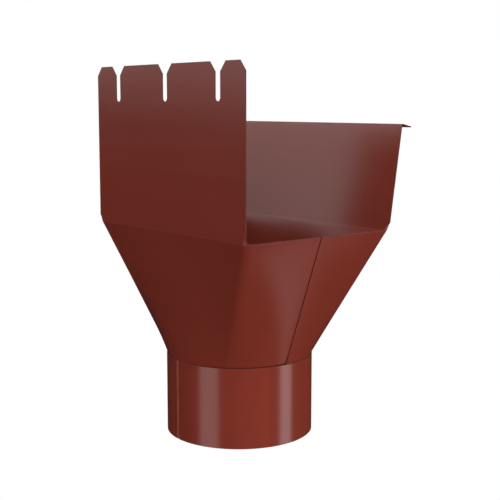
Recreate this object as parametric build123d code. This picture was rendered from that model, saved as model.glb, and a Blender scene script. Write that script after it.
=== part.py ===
from build123d import *
from math import cos, degrees, radians, sin
import os

# Hang-on outlet for a box gutter, folded from coated steel sheet and soldered at its laps.
# X runs along the gutter, +Y points from the toothed back plate to the lipped front wall,
# +Z is up, and the origin lies on the spigot's axis at its foot. Sizes are in millimetres.

# Sheet
sheet = 0.6  # thickness of every sheet, measured level on the sloping walls
nest_gap = 0.05  # clearance between a sheet and the one that it nests in
lap_width = 8.0  # how far a sheet runs on behind the edge that covers it

# Gutter that hangs in the outlet
gutter_depth = 119.0  # front to back over its outside, at the floor
outlet_run = 165.0  # length of the outlet along the gutter

# Spigot
spigot_radius = 50.0  # outside
spigot_length = 53.5
seam_azimuth = -94.0  # degrees, where the outer end of the rolled sheet lies, almost at the back
seam_dip_width = 2.2  # the sheet dips over this width to pass under its own end
seam_dip_depth = 0.5

# Hopper between the spigot and the gutter
hopper_height = 87.0
hopper_corner_radius = 4.0
neck_corner_span = 7.0  # degrees of the round neck that each rounded corner runs into
collar_length = 10.0  # straight neck that sits inside the spigot
collar_clearance = 1.0  # below the collar, where the spigot's inner lap is trimmed back
seat_rise = 0.5  # from the hopper's upper bends to the lower edges of the cut-outs for the gutter
seat_corner_radius = 4.0  # lower corners of those cut-outs
crisp_corner_radius = 1.0  # where the flat plates begin, above the rounded corners

# Back plate with its row of tabs, heights above the hopper
tab_top_height = 107.3
tab_chamfer_width = 5.3
tab_chamfer_height = 6.2
slot_width = 5.0
slot_depth = 23.7
slot_pitch = 55.4
slot_count = 3

# Front wall with its lip
fold_height = 69.5  # above the hopper
front_flare = 10.8  # how far the wall leans out by the fold
fold_radius = 0.8  # inside of the fold
lip_reach = 9.0
lip_drop = 2.1

# Levels and half sizes that follow from the sizes above
hopper_top = spigot_length + hopper_height
plate_foot = seat_rise + seat_corner_radius  # height above the hopper where the plates stand free
half_run = outlet_run / 2
half_depth = gutter_depth / 2 + sheet
flare_slope = front_flare / fold_height
nest_step = sheet + nest_gap  # how much smaller a nested sheet is than the one round it
collar_radius = spigot_radius - nest_step
slot_centres = [slot_pitch * (i - (slot_count - 1) / 2) for i in range(slot_count)]


def rounded_outline(half_x, back_y, front_y, corner, height):
    # level face with four rounded corners, each of two arcs that meet on the corner's bend line
    centres = [
        (half_x - corner, front_y - corner),
        (corner - half_x, front_y - corner),
        (corner - half_x, back_y + corner),
        (half_x - corner, back_y + corner),
    ]
    arcs = [CenterArc(centres[i // 2], corner, 45 * i, 45) for i in range(8)]
    sides = [Line(arcs[i] @ 1, arcs[(i + 1) % 8] @ 0) for i in (1, 3, 5, 7)]
    return Pos(0, 0, height) * make_face(arcs + sides)


def neck_outline(radius, centre_y, height):
    # circle of two short arcs for each corner of the hopper and one long arc for each side
    half_span = neck_corner_span / 2
    arcs = []
    for bend in (45, 135, 225, 315):
        arcs.append(CenterArc((0, centre_y), radius, bend - half_span, half_span))
        arcs.append(CenterArc((0, centre_y), radius, bend, half_span))
        arcs.append(CenterArc((0, centre_y), radius, bend + half_span, 90 - neck_corner_span))
    return Pos(0, 0, height) * make_face(arcs)


def hopper_solid(half_x, neck_radius, neck_y, inset):
    # from the round neck to the rounded corners, and on to the crisp ones above them
    front_lean = flare_slope * plate_foot
    back = inset - half_depth
    front = half_depth - inset
    sections = [
        neck_outline(neck_radius - inset, neck_y, spigot_length),
        rounded_outline(half_x - inset, back, front, hopper_corner_radius - inset, hopper_top),
        rounded_outline(
            half_x - inset, back, front + front_lean, crisp_corner_radius - inset, hopper_top + plate_foot
        ),
    ]
    return loft(sections, ruled=True)


def hopper_wall(half_x, neck_radius, neck_y):
    # sloping sheet with the straight collar below it
    wall = hopper_solid(half_x, neck_radius, neck_y, 0) - hopper_solid(half_x, neck_radius, neck_y, sheet)
    ring = Circle(neck_radius) - Circle(neck_radius - sheet)
    return wall + extrude(Pos(0, neck_y, spigot_length) * ring, -collar_length)


def half_space(edge_y, side):
    # everything in front of a plane across the outlet, or behind it where side is -1
    reach = 4 * outlet_run
    return Pos(0, edge_y + side * reach / 2, 0) * Box(2 * reach, reach, 2 * reach)


def front_line(height):
    # outside of the leaning front wall, at a height above the hopper
    return half_depth + flare_slope * height


def seat_cut():
    # open run for the gutter between the two plates, with rounded lower corners
    back = sheet - half_depth
    outline = Polyline(
        (back, seat_rise),
        (front_line(seat_rise) - sheet, seat_rise),
        (front_line(tab_top_height) - sheet, tab_top_height),
        (back, tab_top_height),
        close=True,
    )
    face = make_face(outline)
    face = fillet(face.vertices().sort_by(Axis.Y)[:2], seat_corner_radius)
    return extrude(Plane.YZ * Pos(0, hopper_top) * face, outlet_run, both=True)


def tab_face(left, right):
    # upright tab with its two top corners cut off
    shoulder = tab_top_height - tab_chamfer_height
    outline = Polyline(
        (left, plate_foot),
        (right, plate_foot),
        (right, shoulder),
        (right - tab_chamfer_width, tab_top_height),
        (left + tab_chamfer_width, tab_top_height),
        (left, shoulder),
        close=True,
    )
    return make_face(outline)


def back_plate(half_x):
    # flat plate whose upper edge is a row of tabs, with a round-bottomed slot between each two
    slot_foot = tab_top_height - slot_depth + slot_width / 2
    lefts = [-half_x] + [x + slot_width / 2 for x in slot_centres]
    rights = [x - slot_width / 2 for x in slot_centres] + [half_x]
    web_height = slot_foot - plate_foot
    face = Pos(0, plate_foot + web_height / 2) * Rectangle(2 * half_x, web_height)
    for left, right in zip(lefts, rights):
        face += tab_face(left, right)
    for x in slot_centres:
        face -= Pos(x, slot_foot) * Circle(slot_width / 2)
    stand = Plane((0, -half_depth, hopper_top), x_dir=(1, 0, 0), z_dir=(0, -1, 0))
    return extrude(stand * face, -sheet)


def front_wall(half_x):
    # wall that leans out, with a lip folded outwards and a little down
    lip_slope = lip_drop / lip_reach
    fold_y = front_line(fold_height) - sheet
    tip_y = fold_y + lip_reach
    tip_height = fold_height - lip_drop
    under_height = fold_height - sheet * (1 + lip_slope) / (1 + lip_slope * flare_slope)
    foot_y = front_line(plate_foot)
    outline = Polyline(
        (foot_y - sheet, plate_foot),
        (fold_y, fold_height),
        (tip_y, tip_height),
        (tip_y, tip_height - sheet),
        (front_line(under_height), under_height),
        (foot_y, plate_foot),
        close=True,
    )
    face = make_face(outline)
    fold_top = face.vertices().sort_by(Axis.Y)[-1]
    face = fillet(fold_top, fold_radius + sheet)
    fold_under = face.vertices().sort_by_distance((front_line(under_height), under_height))[0]
    face = fillet(fold_under, fold_radius)
    return extrude(Plane.YZ * Pos(0, hopper_top) * face, half_x, both=True)


def back_shell():
    # nests inside the front shell at both ends, and reaches past its edge by the lap
    half_x = half_run - nest_step
    shell = hopper_wall(half_x, collar_radius - nest_step, -nest_step) & half_space(lap_width, -1)
    return shell + back_plate(half_x) - seat_cut()


def front_shell():
    # its ends cover those of the back shell, with the visible edge half way along
    shell = hopper_wall(half_run, collar_radius, 0) & half_space(0, 1)
    return shell + front_wall(half_run) - seat_cut()


def polar(radius, azimuth):
    return (radius * cos(radians(azimuth)), radius * sin(radians(azimuth)))


def outlet_pipe():
    # rolled sheet whose inner end dips and passes under its outer end
    dip_span = degrees(seam_dip_width / spigot_radius)
    lap_span = degrees(lap_width / spigot_radius)
    dip_end = seam_azimuth + dip_span
    lap_start = seam_azimuth - lap_span
    bore_radius = spigot_radius - sheet
    pipe = extrude(Circle(spigot_radius) - Circle(bore_radius), spigot_length)
    under_arc = CenterArc((0, 0), bore_radius - sheet, lap_start, lap_span)
    cover_arc = CenterArc((0, 0), bore_radius + sheet / 2, lap_start, lap_span + dip_span)
    under_face = make_face([
        under_arc,
        Line(under_arc @ 1, polar(bore_radius, dip_end)),
        Line(polar(bore_radius, dip_end), cover_arc @ 1),
        cover_arc,
        Line(cover_arc @ 0, under_arc @ 0),
    ])
    pipe += extrude(under_face, spigot_length - collar_length - collar_clearance)
    dip_outline = Polyline(
        polar(spigot_radius - seam_dip_depth, seam_azimuth),
        polar(spigot_radius + sheet, seam_azimuth),
        polar(spigot_radius + sheet, dip_end),
        polar(spigot_radius, dip_end),
        close=True,
    )
    return pipe - extrude(make_face(dip_outline), spigot_length)


nodes = {
    "back_shell": back_shell(),
    "front_shell": front_shell(),
    "outlet_pipe": outlet_pipe(),
}

os.makedirs("parts", exist_ok=True)
for name, shape in nodes.items():
    export_step(shape, f"parts/{name}.step")
    print(name, len(shape.solids()), "solid,", round(shape.volume), "cubic mm")
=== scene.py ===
import bpy
from math import cos, pi, radians, sin, tan
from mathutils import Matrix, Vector

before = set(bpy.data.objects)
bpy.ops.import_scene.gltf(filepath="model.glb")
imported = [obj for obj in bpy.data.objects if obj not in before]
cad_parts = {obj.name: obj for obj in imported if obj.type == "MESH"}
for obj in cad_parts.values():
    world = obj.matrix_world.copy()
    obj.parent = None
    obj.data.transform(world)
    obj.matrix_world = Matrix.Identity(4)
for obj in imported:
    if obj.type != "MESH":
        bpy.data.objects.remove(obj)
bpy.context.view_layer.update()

# Camera, placed so that its picture lies on the photograph: place in metres, tilt and turn in degrees, lens
# and sensor in millimetres
cameraSettings = {
    "place": (0.53453, -0.42317, 0.22227),
    "tilt": 82.6235,
    "turn": 51.0188,
    "lens": 72.575,
    "sensor": 36,
    "shiftUp": -0.03,
}


def makeCamera(values):
    data = bpy.data.cameras.new("camera")
    data.lens = values["lens"]
    data.sensor_width = values["sensor"]
    data.shift_y = values["shiftUp"]
    camera = bpy.data.objects.new("camera", data)
    camera.location = values["place"]
    camera.rotation_euler = (radians(values["tilt"]), 0, radians(values["turn"]))
    bpy.context.scene.collection.objects.link(camera)
    bpy.context.scene.camera = camera


makeCamera(cameraSettings)
bpy.context.scene.view_settings.view_transform = "Standard"
print("camera placed")


def addNode(tree, kind, **values):
    # values are either properties of the node or, with spaces as underscores, its inputs
    node = tree.nodes.new(kind)
    for name, value in values.items():
        socket = name.replace("_", " ")
        if socket in node.inputs:
            node.inputs[socket].default_value = value
        else:
            setattr(node, name, value)
    return node


def addMath(tree, operation, *terms, kind="Math", output="Value", **values):
    # one step of arithmetic, whose terms are sockets or plain numbers
    node = addNode(tree, "ShaderNode" + kind, operation=operation, **values)
    for slot, term in enumerate(terms):
        if isinstance(term, float):
            node.inputs[slot].default_value = term
        else:
            tree.links.new(term, node.inputs[slot])
    return node.outputs[output]


def addRamp(tree, source, start, full, least=0.0, most=1.0, steps="SMOOTHSTEP"):
    # goes from the least value to the most as the source goes from start to full
    node = addNode(
        tree, "ShaderNodeMapRange", interpolation_type=steps,
        From_Min=start, From_Max=full, To_Min=least, To_Max=most,
    )
    tree.links.new(source, node.inputs["Value"])
    return node.outputs["Result"]


def addBlend(tree, kind, share, first, second):
    # goes from the first colour or number to the second as the share rises
    node = addNode(tree, "ShaderNodeMix", data_type=kind)
    for slot, source in (("Factor", share), ("A", first), ("B", second)):
        tree.links.new(source, node.inputs[slot])
    return node.outputs["Result"]


# Floor and sky: white to the camera, dim to the steel, so that only the panels shine in it
studioSettings = {
    "floorSize": 8.0,
    "white": (1, 1, 1, 1),
    "floorGlow": 0.0,
    "lowSky": 0.01,
    "highSky": 0.66,
    "skyStart": 0.18,
    "skyFull": 0.6,
}


def makeFloor(values):
    half = values["floorSize"] / 2
    corners = [(-half, -half, 0), (half, -half, 0), (half, half, 0), (-half, half, 0)]
    mesh = bpy.data.meshes.new("floor")
    mesh.from_pydata(corners, [], [(0, 1, 2, 3)])
    floor = bpy.data.objects.new("floor", mesh)
    bpy.context.scene.collection.objects.link(floor)
    floor.visible_glossy = False
    floor.visible_shadow = False
    material = bpy.data.materials.new("paleFloor")
    material.use_nodes = True
    tree = material.node_tree
    tree.nodes.clear()
    link = tree.links.new
    seen = addNode(tree, "ShaderNodeEmission", Color=values["white"])
    glow = addNode(tree, "ShaderNodeEmission", Color=values["white"], Strength=values["floorGlow"])
    clear = addNode(tree, "ShaderNodeBsdfTransparent")
    path = addNode(tree, "ShaderNodeLightPath")
    side = addNode(tree, "ShaderNodeNewGeometry")
    above = addNode(tree, "ShaderNodeMixShader")
    both = addNode(tree, "ShaderNodeMixShader")
    output = addNode(tree, "ShaderNodeOutputMaterial")
    link(path.outputs["Is Camera Ray"], above.inputs["Fac"])
    link(glow.outputs["Emission"], above.inputs[1])
    link(seen.outputs["Emission"], above.inputs[2])
    # from below the floor is clear, so that low views see the part
    link(side.outputs["Backfacing"], both.inputs["Fac"])
    link(above.outputs["Shader"], both.inputs[1])
    link(clear.outputs["BSDF"], both.inputs[2])
    link(both.outputs["Shader"], output.inputs["Surface"])
    mesh.materials.append(material)


def makeSky(values):
    world = bpy.data.worlds.new("sky")
    world.use_nodes = True
    tree = world.node_tree
    tree.nodes.clear()
    link = tree.links.new
    place = addNode(tree, "ShaderNodeTexCoord")
    axes = addNode(tree, "ShaderNodeSeparateXYZ")
    link(place.outputs["Generated"], axes.inputs["Vector"])
    rise = addRamp(
        tree, axes.outputs["Z"], values["skyStart"], values["skyFull"],
        least=values["lowSky"], most=values["highSky"],
    )
    lit = addNode(tree, "ShaderNodeBackground", Color=values["white"])
    seen = addNode(tree, "ShaderNodeBackground", Color=values["white"])
    path = addNode(tree, "ShaderNodeLightPath")
    mix = addNode(tree, "ShaderNodeMixShader")
    output = addNode(tree, "ShaderNodeOutputWorld")
    link(rise, lit.inputs["Strength"])
    link(path.outputs["Is Camera Ray"], mix.inputs["Fac"])
    link(lit.outputs["Background"], mix.inputs[1])
    link(seen.outputs["Background"], mix.inputs[2])
    link(mix.outputs["Shader"], output.inputs["Surface"])
    bpy.context.scene.world = world


makeFloor(studioSettings)
makeSky(studioSettings)
print("floor and sky made")

# Soft panels round the object. Each spans the angles given, as seen from the aim: "from" and "to" run
# anticlockwise from the camera's side, "low" and "high" are above the horizon, all in degrees. "glow" is how
# bright it looks, and with "shine" off it lights the steel but isn't mirrored in it.
panelSettings = {
    "aim": (0, 0.01, 0.12),
    "distance": 6.0,
    "panels": {
        "keyPanel": {"from": 15, "to": 105, "low": 12, "high": 50, "glow": 2.36},
        "frontHigh": {"from": -40, "to": 15, "low": 12, "high": 50, "glow": 3.4},
        "leftStrip": {"from": -64, "to": -33, "low": -32, "high": 5, "glow": 1.63},
        "rightStrip": {"from": 67, "to": 88, "low": -34, "high": 12, "glow": 2.62},
        "rightLow": {"from": 72, "to": 94, "low": -46, "high": -34, "glow": 0.66},
        "rearSide": {"from": -140, "to": -101, "low": 2.4, "high": 9, "glow": 0.86},
        "rearLow": {"from": -101, "to": -89, "low": 1.4, "high": 9, "glow": 1.59},
        "rearMiddle": {"from": -140, "to": -80, "low": 9, "high": 14, "glow": 0.99},
        "rearHigh": {"from": -140, "to": -80, "low": 14, "high": 23, "glow": 2.95},
        "endFill": {"from": 15, "to": 85, "low": -60, "high": -25, "glow": 3.4, "shine": False},
    },
}


def makePanels(values, cameraTurn):
    aim = Vector(values["aim"])
    distance = values["distance"]
    for name, panel in values["panels"].items():
        turn = radians(cameraTurn - 90 + (panel["from"] + panel["to"]) / 2)
        lift = radians((panel["low"] + panel["high"]) / 2)
        halfTurn = radians((panel["to"] - panel["from"]) / 2)
        halfLift = radians((panel["high"] - panel["low"]) / 2)
        width = 2 * distance * cos(lift) * tan(halfTurn)
        height = 2 * distance * tan(halfLift)
        out = Vector((cos(turn) * cos(lift), sin(turn) * cos(lift), sin(lift)))
        light = bpy.data.lights.new(name, "AREA")
        light.shape = "RECTANGLE"
        light.size = width
        light.size_y = height
        light.energy = panel["glow"] * pi * width * height
        lamp = bpy.data.objects.new(name, light)
        lamp.location = aim + out * distance
        lamp.rotation_euler = out.to_track_quat("Z", "Y").to_euler()
        lamp.visible_camera = False
        lamp.visible_glossy = panel.get("shine", True)
        bpy.context.scene.collection.objects.link(lamp)


makePanels(panelSettings, cameraSettings["turn"])
print("panels hung")


def makeGroup(name, inputs, outputs):
    # inputs and outputs give the kind of each socket by its name; the sockets come back by name too
    group = bpy.data.node_groups.new(name, "ShaderNodeTree")
    for way, sockets in (("INPUT", inputs), ("OUTPUT", outputs)):
        for label, kind in sockets.items():
            group.interface.new_socket(label, in_out=way, socket_type="NodeSocket" + kind)
    given = group.nodes.new("NodeGroupInput").outputs
    result = group.nodes.new("NodeGroupOutput").inputs
    return group, given, result


# Baked colour coat: clouds of tone, faint roller streaks and a fine orange peel. "middle" is the mean of the
# clouds and the streaks added up.
filmNoise = {
    "cloudDetail": 3.0,
    "cloudRoughness": 0.55,
    "streakDetail": 2.0,
    "streakScale": 1.0,
    "peelDetail": 1.5,
    "peelRoughness": 0.4,
    "middle": 1.0,
}


def makeCoatFilm(noise):
    group, given, result = makeGroup(
        "coatFilm",
        {
            "Colour": "Color",
            "Tone Spread": "Float",
            "Roughness": "Float",
            "Roughness Spread": "Float",
            "Cloud Scale": "Float",
            "Peel Scale": "Float",
            "Streak Stretch": "Vector",
        },
        {"Colour": "Color", "Roughness": "Float", "Height": "Float"},
    )
    link = group.links.new
    place = addNode(group, "ShaderNodeTexCoord").outputs["Object"]
    clouds = addNode(
        group, "ShaderNodeTexNoise", Detail=noise["cloudDetail"], Roughness=noise["cloudRoughness"],
    )
    link(place, clouds.inputs["Vector"])
    link(given["Cloud Scale"], clouds.inputs["Scale"])
    stretch = addMath(group, "MULTIPLY", place, given["Streak Stretch"], kind="VectorMath", output="Vector")
    streaks = addNode(group, "ShaderNodeTexNoise", Detail=noise["streakDetail"], Scale=noise["streakScale"])
    link(stretch, streaks.inputs["Vector"])
    peel = addNode(group, "ShaderNodeTexNoise", Detail=noise["peelDetail"], Roughness=noise["peelRoughness"])
    link(place, peel.inputs["Vector"])
    link(given["Peel Scale"], peel.inputs["Scale"])
    both = addMath(group, "ADD", clouds.outputs["Fac"], streaks.outputs["Fac"])
    centred = addMath(group, "SUBTRACT", both, noise["middle"])
    tone = addMath(group, "MULTIPLY_ADD", centred, given["Tone Spread"], 1.0)
    tinted = addNode(group, "ShaderNodeVectorMath", operation="SCALE")
    link(given["Colour"], tinted.inputs[0])
    link(tone, tinted.inputs["Scale"])
    dull = addMath(group, "MULTIPLY_ADD", centred, given["Roughness Spread"], given["Roughness"])
    link(tinted.outputs["Vector"], result["Colour"])
    link(dull, result["Roughness"])
    link(peel.outputs["Fac"], result["Height"])
    return group


# Cut edges, where the thin coat is rubbed dark and dull in patches, and a normal that rounds them. An edge
# starts where the rounded normal is less like the face's than "edgeStart", and is full at "edgeFull".
# "straight" is how nearly a cut face has to look along one of its ways.
wearShape = {
    "samples": 6,
    "edgeStart": 0.97,
    "edgeFull": 0.82,
    "straight": 0.99,
    "chipDetail": 3.0,
    "chipRoughness": 0.6,
    "patchStart": 0.35,
    "patchFull": 0.6,
    "patchLeast": 0.7,
}


def makeEdgeWear(shape):
    group, given, result = makeGroup(
        "edgeWear",
        {
            "Colour": "Color",
            "Roughness": "Float",
            "Edge Colour": "Color",
            "Edge Roughness": "Float",
            "Edge Radius": "Float",
            "Cut Ways": "Vector",
            "Cut Above": "Float",
            "Amount": "Float",
            "Chip Scale": "Float",
        },
        {"Colour": "Color", "Roughness": "Float", "Normal": "Vector"},
    )
    link = group.links.new
    place = addNode(group, "ShaderNodeTexCoord").outputs["Object"]
    chips = addNode(
        group, "ShaderNodeTexNoise", Detail=shape["chipDetail"], Roughness=shape["chipRoughness"],
    )
    link(place, chips.inputs["Vector"])
    link(given["Chip Scale"], chips.inputs["Scale"])
    face = addNode(group, "ShaderNodeNewGeometry")
    bevel = addNode(group, "ShaderNodeBevel", samples=shape["samples"])
    link(given["Edge Radius"], bevel.inputs["Radius"])
    likeness = addMath(
        group, "DOT_PRODUCT", face.outputs["Normal"], bevel.outputs["Normal"], kind="VectorMath",
    )
    edge = addRamp(group, likeness, shape["edgeStart"], shape["edgeFull"])
    # a face is a cut edge where it looks straight along one of the ways, above the given height
    facing = addMath(group, "ABSOLUTE", face.outputs["True Normal"], kind="VectorMath", output="Vector")
    along = addMath(group, "DOT_PRODUCT", facing, given["Cut Ways"], kind="VectorMath")
    straight = addMath(group, "GREATER_THAN", along, shape["straight"])
    heights = addNode(group, "ShaderNodeSeparateXYZ")
    link(place, heights.inputs["Vector"])
    above = addMath(group, "GREATER_THAN", heights.outputs["Z"], given["Cut Above"])
    cut = addMath(group, "MULTIPLY", straight, above)
    either = addMath(group, "MAXIMUM", edge, cut)
    patchy = addRamp(
        group, chips.outputs["Fac"], shape["patchStart"], shape["patchFull"],
        least=shape["patchLeast"], steps="LINEAR",
    )
    mask = addMath(group, "MULTIPLY", either, patchy)
    share = addMath(group, "MULTIPLY", mask, given["Amount"], use_clamp=True)
    link(addBlend(group, "RGBA", share, given["Colour"], given["Edge Colour"]), result["Colour"])
    link(addBlend(group, "FLOAT", share, given["Roughness"], given["Edge Roughness"]), result["Roughness"])
    link(bevel.outputs["Normal"], result["Normal"])
    return group


# Painted shade: a dark line painted into the colour in the tight corners where one sheet meets another,
# darkest where the corner is most closed in. It starts where a corner is less open than "openStart", and is
# full at "openFull".
seamShadeShape = {
    "samples": 8,
    "openStart": 0.8,
    "openFull": 0.3,
}


def makePaintedSeamShade(shape):
    group, given, result = makeGroup(
        "paintedSeamShade",
        {"Colour": "Color", "Grime Colour": "Color", "Reach": "Float", "Amount": "Float"},
        {"Colour": "Color"},
    )
    link = group.links.new
    corner = addNode(group, "ShaderNodeAmbientOcclusion", samples=shape["samples"])
    link(given["Reach"], corner.inputs["Distance"])
    depth = addRamp(group, corner.outputs["AO"], shape["openStart"], shape["openFull"])
    share = addMath(group, "MULTIPLY", depth, given["Amount"], use_clamp=True)
    link(addBlend(group, "RGBA", share, given["Colour"], given["Grime Colour"]), result["Colour"])
    return group


# Painted highlight: an upright lighter line on a rolled sheet, where its lapped end catches the light.
# "fadeStart" and "fadeFull" are shares of the line's width, and the line keeps to what lies further out from
# the axis than "outside", in metres.
seamHighlightShape = {
    "fadeStart": 0.6,
    "fadeFull": 0.35,
    "outside": 0.0495,
    "speckScale": 180.0,
    "speckDetail": 2.0,
    "patchStart": 0.3,
    "patchFull": 0.6,
    "patchLeast": 0.7,
}


def makePaintedSeamHighlight(shape):
    # "Outward" points from the axis to the line, and "Across" along the sheet
    group, given, result = makeGroup(
        "paintedSeamHighlight",
        {
            "Colour": "Color",
            "Rub Colour": "Color",
            "Across": "Vector",
            "Outward": "Vector",
            "Width": "Float",
            "Amount": "Float",
        },
        {"Colour": "Color"},
    )
    link = group.links.new
    place = addNode(group, "ShaderNodeTexCoord").outputs["Object"]
    across = addMath(group, "DOT_PRODUCT", place, given["Across"], kind="VectorMath")
    away = addMath(group, "ABSOLUTE", across)
    share = addMath(group, "DIVIDE", away, given["Width"])
    line = addRamp(group, share, shape["fadeStart"], shape["fadeFull"])
    outward = addMath(group, "DOT_PRODUCT", place, given["Outward"], kind="VectorMath")
    near = addMath(group, "GREATER_THAN", outward, shape["outside"])
    here = addMath(group, "MULTIPLY", line, near)
    specks = addNode(group, "ShaderNodeTexNoise", Scale=shape["speckScale"], Detail=shape["speckDetail"])
    link(place, specks.inputs["Vector"])
    patchy = addRamp(
        group, specks.outputs["Fac"], shape["patchStart"], shape["patchFull"],
        least=shape["patchLeast"], steps="LINEAR",
    )
    highlightPatches = addMath(group, "MULTIPLY", here, patchy)
    mask = addMath(group, "MULTIPLY", highlightPatches, given["Amount"], use_clamp=True)
    link(addBlend(group, "RGBA", mask, given["Colour"], given["Rub Colour"]), result["Colour"])
    return group


coatFilm = makeCoatFilm(filmNoise)
edgeWear = makeEdgeWear(wearShape)
paintedSeamShade = makePaintedSeamShade(seamShadeShape)
paintedSeamHighlight = makePaintedSeamHighlight(seamHighlightShape)
print("effects made")

# Coated steel: the same coat on every sheet, with streaks along the way each sheet was rolled. Lengths are in
# metres, and a rub line's turn is in degrees round the upright axis.
coatSettings = {
    "colour": (0.165, 0.0255, 0.0155, 1),
    "edgeColour": (0.075, 0.015, 0.01, 1),
    "edgeRoughness": 0.9,
    # colour and reach of the painted shade in the tight corners between sheets
    "seamShadeColour": (0.03, 0.008, 0.006, 1),
    "seamShadeReach": 0.0016,
    "toneSpread": 0.10,
    "roughness": 0.21,
    "roughnessSpread": 0.05,
    "cloudScale": 14.0,
    "peelScale": 700.0,
    "peelDepth": 0.000008,
    "peelStrength": 0.35,
    "edgeWear": 1.0,
    "chipScale": 260.0,
    "sheets": {
        "back_shell": {
            "streaks": (5.0, 5.0, 160.0),
            "cutWays": (1, 0, 1),
            "cutAbove": 0.1405,
            "edgeRadius": 0.0003,
            "paintedShade": 0.8,
        },
        "front_shell": {
            "streaks": (5.0, 5.0, 150.0),
            "cutWays": (1, 0, 1),
            "cutAbove": 0.1405,
            "edgeRadius": 0.0003,
            "paintedShade": 0.8,
        },
        "outlet_pipe": {
            "streaks": (6.0, 6.0, 130.0),
            "cutWays": (0, 0, 1),
            "cutAbove": -1.0,
            "edgeRadius": 0.00006,
            "paintedShade": 0.0,
            # painted highlight along the pipe's lapped seam
            "seamHighlight": {"turn": -94.0, "width": 0.0019, "colour": (0.27, 0.077, 0.057, 1), "amount": 1.0},
        },
    },
}


def makeCoatedSteel(name, values, sheetValues):
    material = bpy.data.materials.new(name)
    material.use_nodes = True
    tree = material.node_tree
    link = tree.links.new
    shader = tree.nodes["Principled BSDF"]
    film = addNode(
        tree, "ShaderNodeGroup", node_tree=coatFilm,
        Colour=values["colour"], Tone_Spread=values["toneSpread"],
        Roughness=values["roughness"], Roughness_Spread=values["roughnessSpread"],
        Cloud_Scale=values["cloudScale"], Peel_Scale=values["peelScale"],
        Streak_Stretch=sheetValues["streaks"],
    )
    wear = addNode(
        tree, "ShaderNodeGroup", node_tree=edgeWear,
        Edge_Colour=values["edgeColour"], Edge_Roughness=values["edgeRoughness"],
        Edge_Radius=sheetValues["edgeRadius"], Cut_Ways=sheetValues["cutWays"],
        Cut_Above=sheetValues["cutAbove"], Amount=values["edgeWear"], Chip_Scale=values["chipScale"],
    )
    # painted shade in the tight corners between sheets
    paintedShade = addNode(
        tree, "ShaderNodeGroup", node_tree=paintedSeamShade,
        Grime_Colour=values["seamShadeColour"], Reach=values["seamShadeReach"], Amount=sheetValues["paintedShade"],
    )
    bump = addNode(tree, "ShaderNodeBump", Strength=values["peelStrength"], Distance=values["peelDepth"])
    link(film.outputs["Colour"], wear.inputs["Colour"])
    link(film.outputs["Roughness"], wear.inputs["Roughness"])
    link(wear.outputs["Colour"], paintedShade.inputs["Colour"])
    top = paintedShade
    # painted highlight along the pipe's lapped seam, where the lapped end catches the light
    if "seamHighlight" in sheetValues:
        seamHighlightValues = sheetValues["seamHighlight"]
        turn = radians(seamHighlightValues["turn"])
        top = addNode(
            tree, "ShaderNodeGroup", node_tree=paintedSeamHighlight,
            Rub_Colour=seamHighlightValues["colour"], Width=seamHighlightValues["width"], Amount=seamHighlightValues["amount"],
            Across=(-sin(turn), cos(turn), 0), Outward=(cos(turn), sin(turn), 0),
        )
        link(paintedShade.outputs["Colour"], top.inputs["Colour"])
    link(top.outputs["Colour"], shader.inputs["Base Color"])
    link(wear.outputs["Roughness"], shader.inputs["Roughness"])
    link(film.outputs["Height"], bump.inputs["Height"])
    link(wear.outputs["Normal"], bump.inputs["Normal"])
    link(bump.outputs["Normal"], shader.inputs["Normal"])
    return material


for nodeName, sheetValues in coatSettings["sheets"].items():
    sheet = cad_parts[nodeName]
    sheet.data.materials.clear()
    sheet.data.materials.append(makeCoatedSteel("coatedSteel_" + nodeName, coatSettings, sheetValues))
print("coated steel laid on the sheets")
